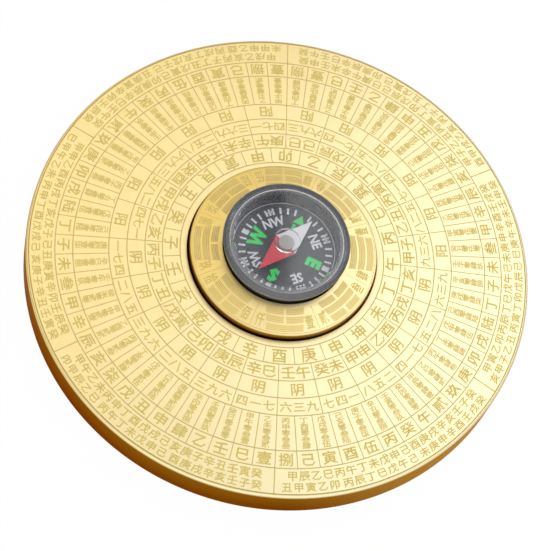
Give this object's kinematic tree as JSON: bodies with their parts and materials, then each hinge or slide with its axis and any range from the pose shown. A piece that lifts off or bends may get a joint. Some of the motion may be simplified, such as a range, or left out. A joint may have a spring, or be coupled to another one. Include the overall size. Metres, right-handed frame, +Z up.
{
  "type": "feng shui compass",
  "caption": "Round metal feng shui compass plate with etched rings, a turning inner trigram dial and a clear button compass whose needle swings.",
  "frame": {"origin": "middle of the felt ring's underside, on the axis of the plate", "axes": "+Z up along the axis, +Y towards the plate's twelve o'clock mark, +X towards its three o'clock mark"},
  "size_m": [0.1, 0.1, 0.0165],
  "materials": {
    "satin_gold": "satin gold plating with darker etched marks",
    "dial_gold": "satin gold plating with darker etched trigrams",
    "white_nylon": "smooth nylon",
    "spring_steel": "rolled spring steel",
    "cover_gold": "plain gold plating",
    "screw_steel": "plain steel",
    "black_felt": "black felt",
    "grey_foam": "adhesive foam",
    "black_plastic": "glossy black plastic",
    "seal_rubber": "matt black rubber",
    "clear_acrylic": "clear acrylic",
    "hub_white": "milky white plastic",
    "card_black": "matt black with printed marks",
    "pin_steel": "polished steel",
    "needle_paint": "white paint, with red on one half",
    "bearing_brass": "polished brass"
  },
  "bodies": {
    "base": {"outer_dial": "satin_gold", "glide_ring": "white_nylon", "wave_spring": "spring_steel", "back_cover": "cover_gold", "cover_screw_1": "screw_steel", "cover_screw_2": "screw_steel", "cover_screw_3": "screw_steel", "cover_screw_4": "screw_steel", "base_pad": "black_felt"},
    "dial": {"inner_dial": "dial_gold", "capsule_pad": "grey_foam", "capsule_base": "black_plastic", "capsule_seal": "seal_rubber", "capsule_dome": "clear_acrylic", "compass_card": "card_black", "pivot_pin": "pin_steel"},
    "needle": {"compass_needle": "needle_paint", "needle_hub": "hub_white", "needle_bearing": "bearing_brass"}
  },
  "joints": [
    {"name": "dial_turn", "type": "hinge", "parent": "base", "child": "dial", "pos_m": [0, 0, 0.0083], "axis": [0, 0, 1], "continuous": true},
    {"name": "needle_swing", "type": "hinge", "parent": "dial", "child": "needle", "pos_m": [0, 0, 0.0135], "axis": [0, 0, 1], "continuous": true}
  ]
}
